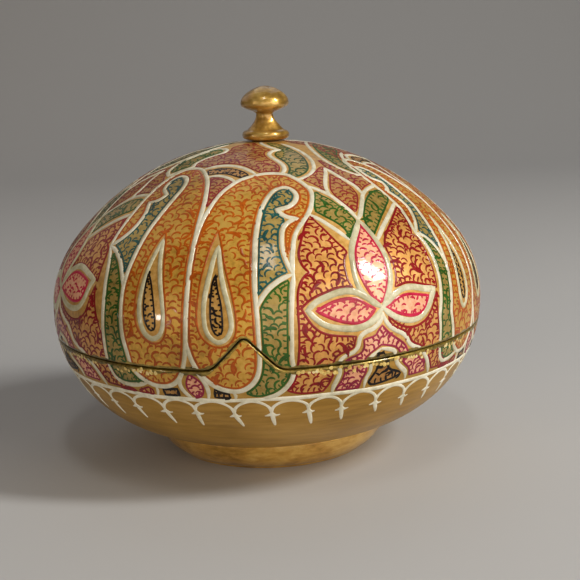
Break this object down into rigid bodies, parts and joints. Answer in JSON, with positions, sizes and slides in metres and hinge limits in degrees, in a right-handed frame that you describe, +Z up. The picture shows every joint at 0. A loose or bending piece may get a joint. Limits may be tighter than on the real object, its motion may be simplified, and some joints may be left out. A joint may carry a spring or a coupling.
{
  "type": "papier mache box",
  "caption": "Round lidded box: a flattened painted globe on a low foot ring, with a turned knob and a lid that keys over pointed tongues and an inner collar.",
  "frame": {"origin": "centre of the foot ring's standing face, on the table", "axes": "+Z up along the box's axis to the knob; -Y towards the front tongue of the rim"},
  "size_m": [0.125, 0.125, 0.1054],
  "materials": {
    "bowl_lacquer": "painted gold and varnished, glossy",
    "lid_lacquer": "painted with paisleys and flowers and varnished, glossy",
    "black_lacquered_card": "black lacquer, satin",
    "foot_gold_paint": "gold paint, satin",
    "knob_gold_paint": "gold paint, glossy",
    "black_lacquered_disc": "black lacquer, satin"
  },
  "bodies": {
    "base": {"base_shell": "bowl_lacquer", "inner_collar": "black_lacquered_card", "foot_ring": "foot_gold_paint"},
    "lid": {"lid_shell": "lid_lacquer", "knob": "knob_gold_paint", "knob_backing_disc": "black_lacquered_disc"}
  },
  "joints": [
    {"name": "lid_lift", "type": "slide", "parent": "base", "child": "lid", "axis": [0, 0, 1], "range_m": [0, 0.06]}
  ]
}
